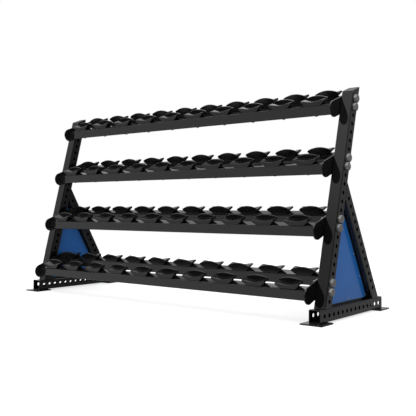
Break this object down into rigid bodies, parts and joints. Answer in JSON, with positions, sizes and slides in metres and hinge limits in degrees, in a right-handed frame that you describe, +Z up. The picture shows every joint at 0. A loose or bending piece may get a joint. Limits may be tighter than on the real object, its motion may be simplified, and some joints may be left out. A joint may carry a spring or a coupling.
{
  "type": "dumbbell rack",
  "caption": "Free-standing tiered dumbbell rack: two A-shaped tube side frames with blue filler panels and slanting pairs of rails that carry rows of moulded saddles.",
  "frame": {"origin": "on the floor, under the middle of the rack's outer box", "axes": "+X to the right seen from the front, +Y towards the back, +Z up"},
  "size_m": [2.462, 0.824, 1.2978],
  "materials": {
    "frame": "black satin powder coat",
    "panel": "blue satin paint",
    "saddle": "black moulded, fine grain",
    "fastener": "zinc plated"
  },
  "bodies": {
    "root": {"left_base_tube": "frame", "left_bolts": "fastener", "left_front_foot_plate": "frame", "left_nuts": "fastener", "left_panel_ledge": "frame", "left_rear_brace": "frame", "left_rear_foot_plate": "frame", "left_side_panel": "panel", "left_upright": "frame", "right_base_tube": "frame", "right_bolts": "fastener", "right_front_foot_plate": "frame", "right_nuts": "fastener", "right_panel_ledge": "frame", "right_rear_brace": "frame", "right_rear_foot_plate": "frame", "right_side_panel": "panel", "right_upright": "frame", "tier_1_front_rail": "frame", "tier_1_front_saddles": "saddle", "tier_1_left_end_plate": "frame", "tier_1_rear_rail": "frame", "tier_1_rear_saddles": "saddle", "tier_1_right_end_plate": "frame", "tier_2_front_rail": "frame", "tier_2_front_saddles": "saddle", "tier_2_left_end_plate": "frame", "tier_2_rear_rail": "frame", "tier_2_rear_saddles": "saddle", "tier_2_right_end_plate": "frame", "tier_3_front_rail": "frame", "tier_3_front_saddles": "saddle", "tier_3_left_end_plate": "frame", "tier_3_rear_rail": "frame", "tier_3_rear_saddles": "saddle", "tier_3_right_end_plate": "frame", "tier_4_front_rail": "frame", "tier_4_front_saddles": "saddle", "tier_4_left_end_plate": "frame", "tier_4_rear_rail": "frame", "tier_4_rear_saddles": "saddle", "tier_4_right_end_plate": "frame"}
  },
  "joints": []
}
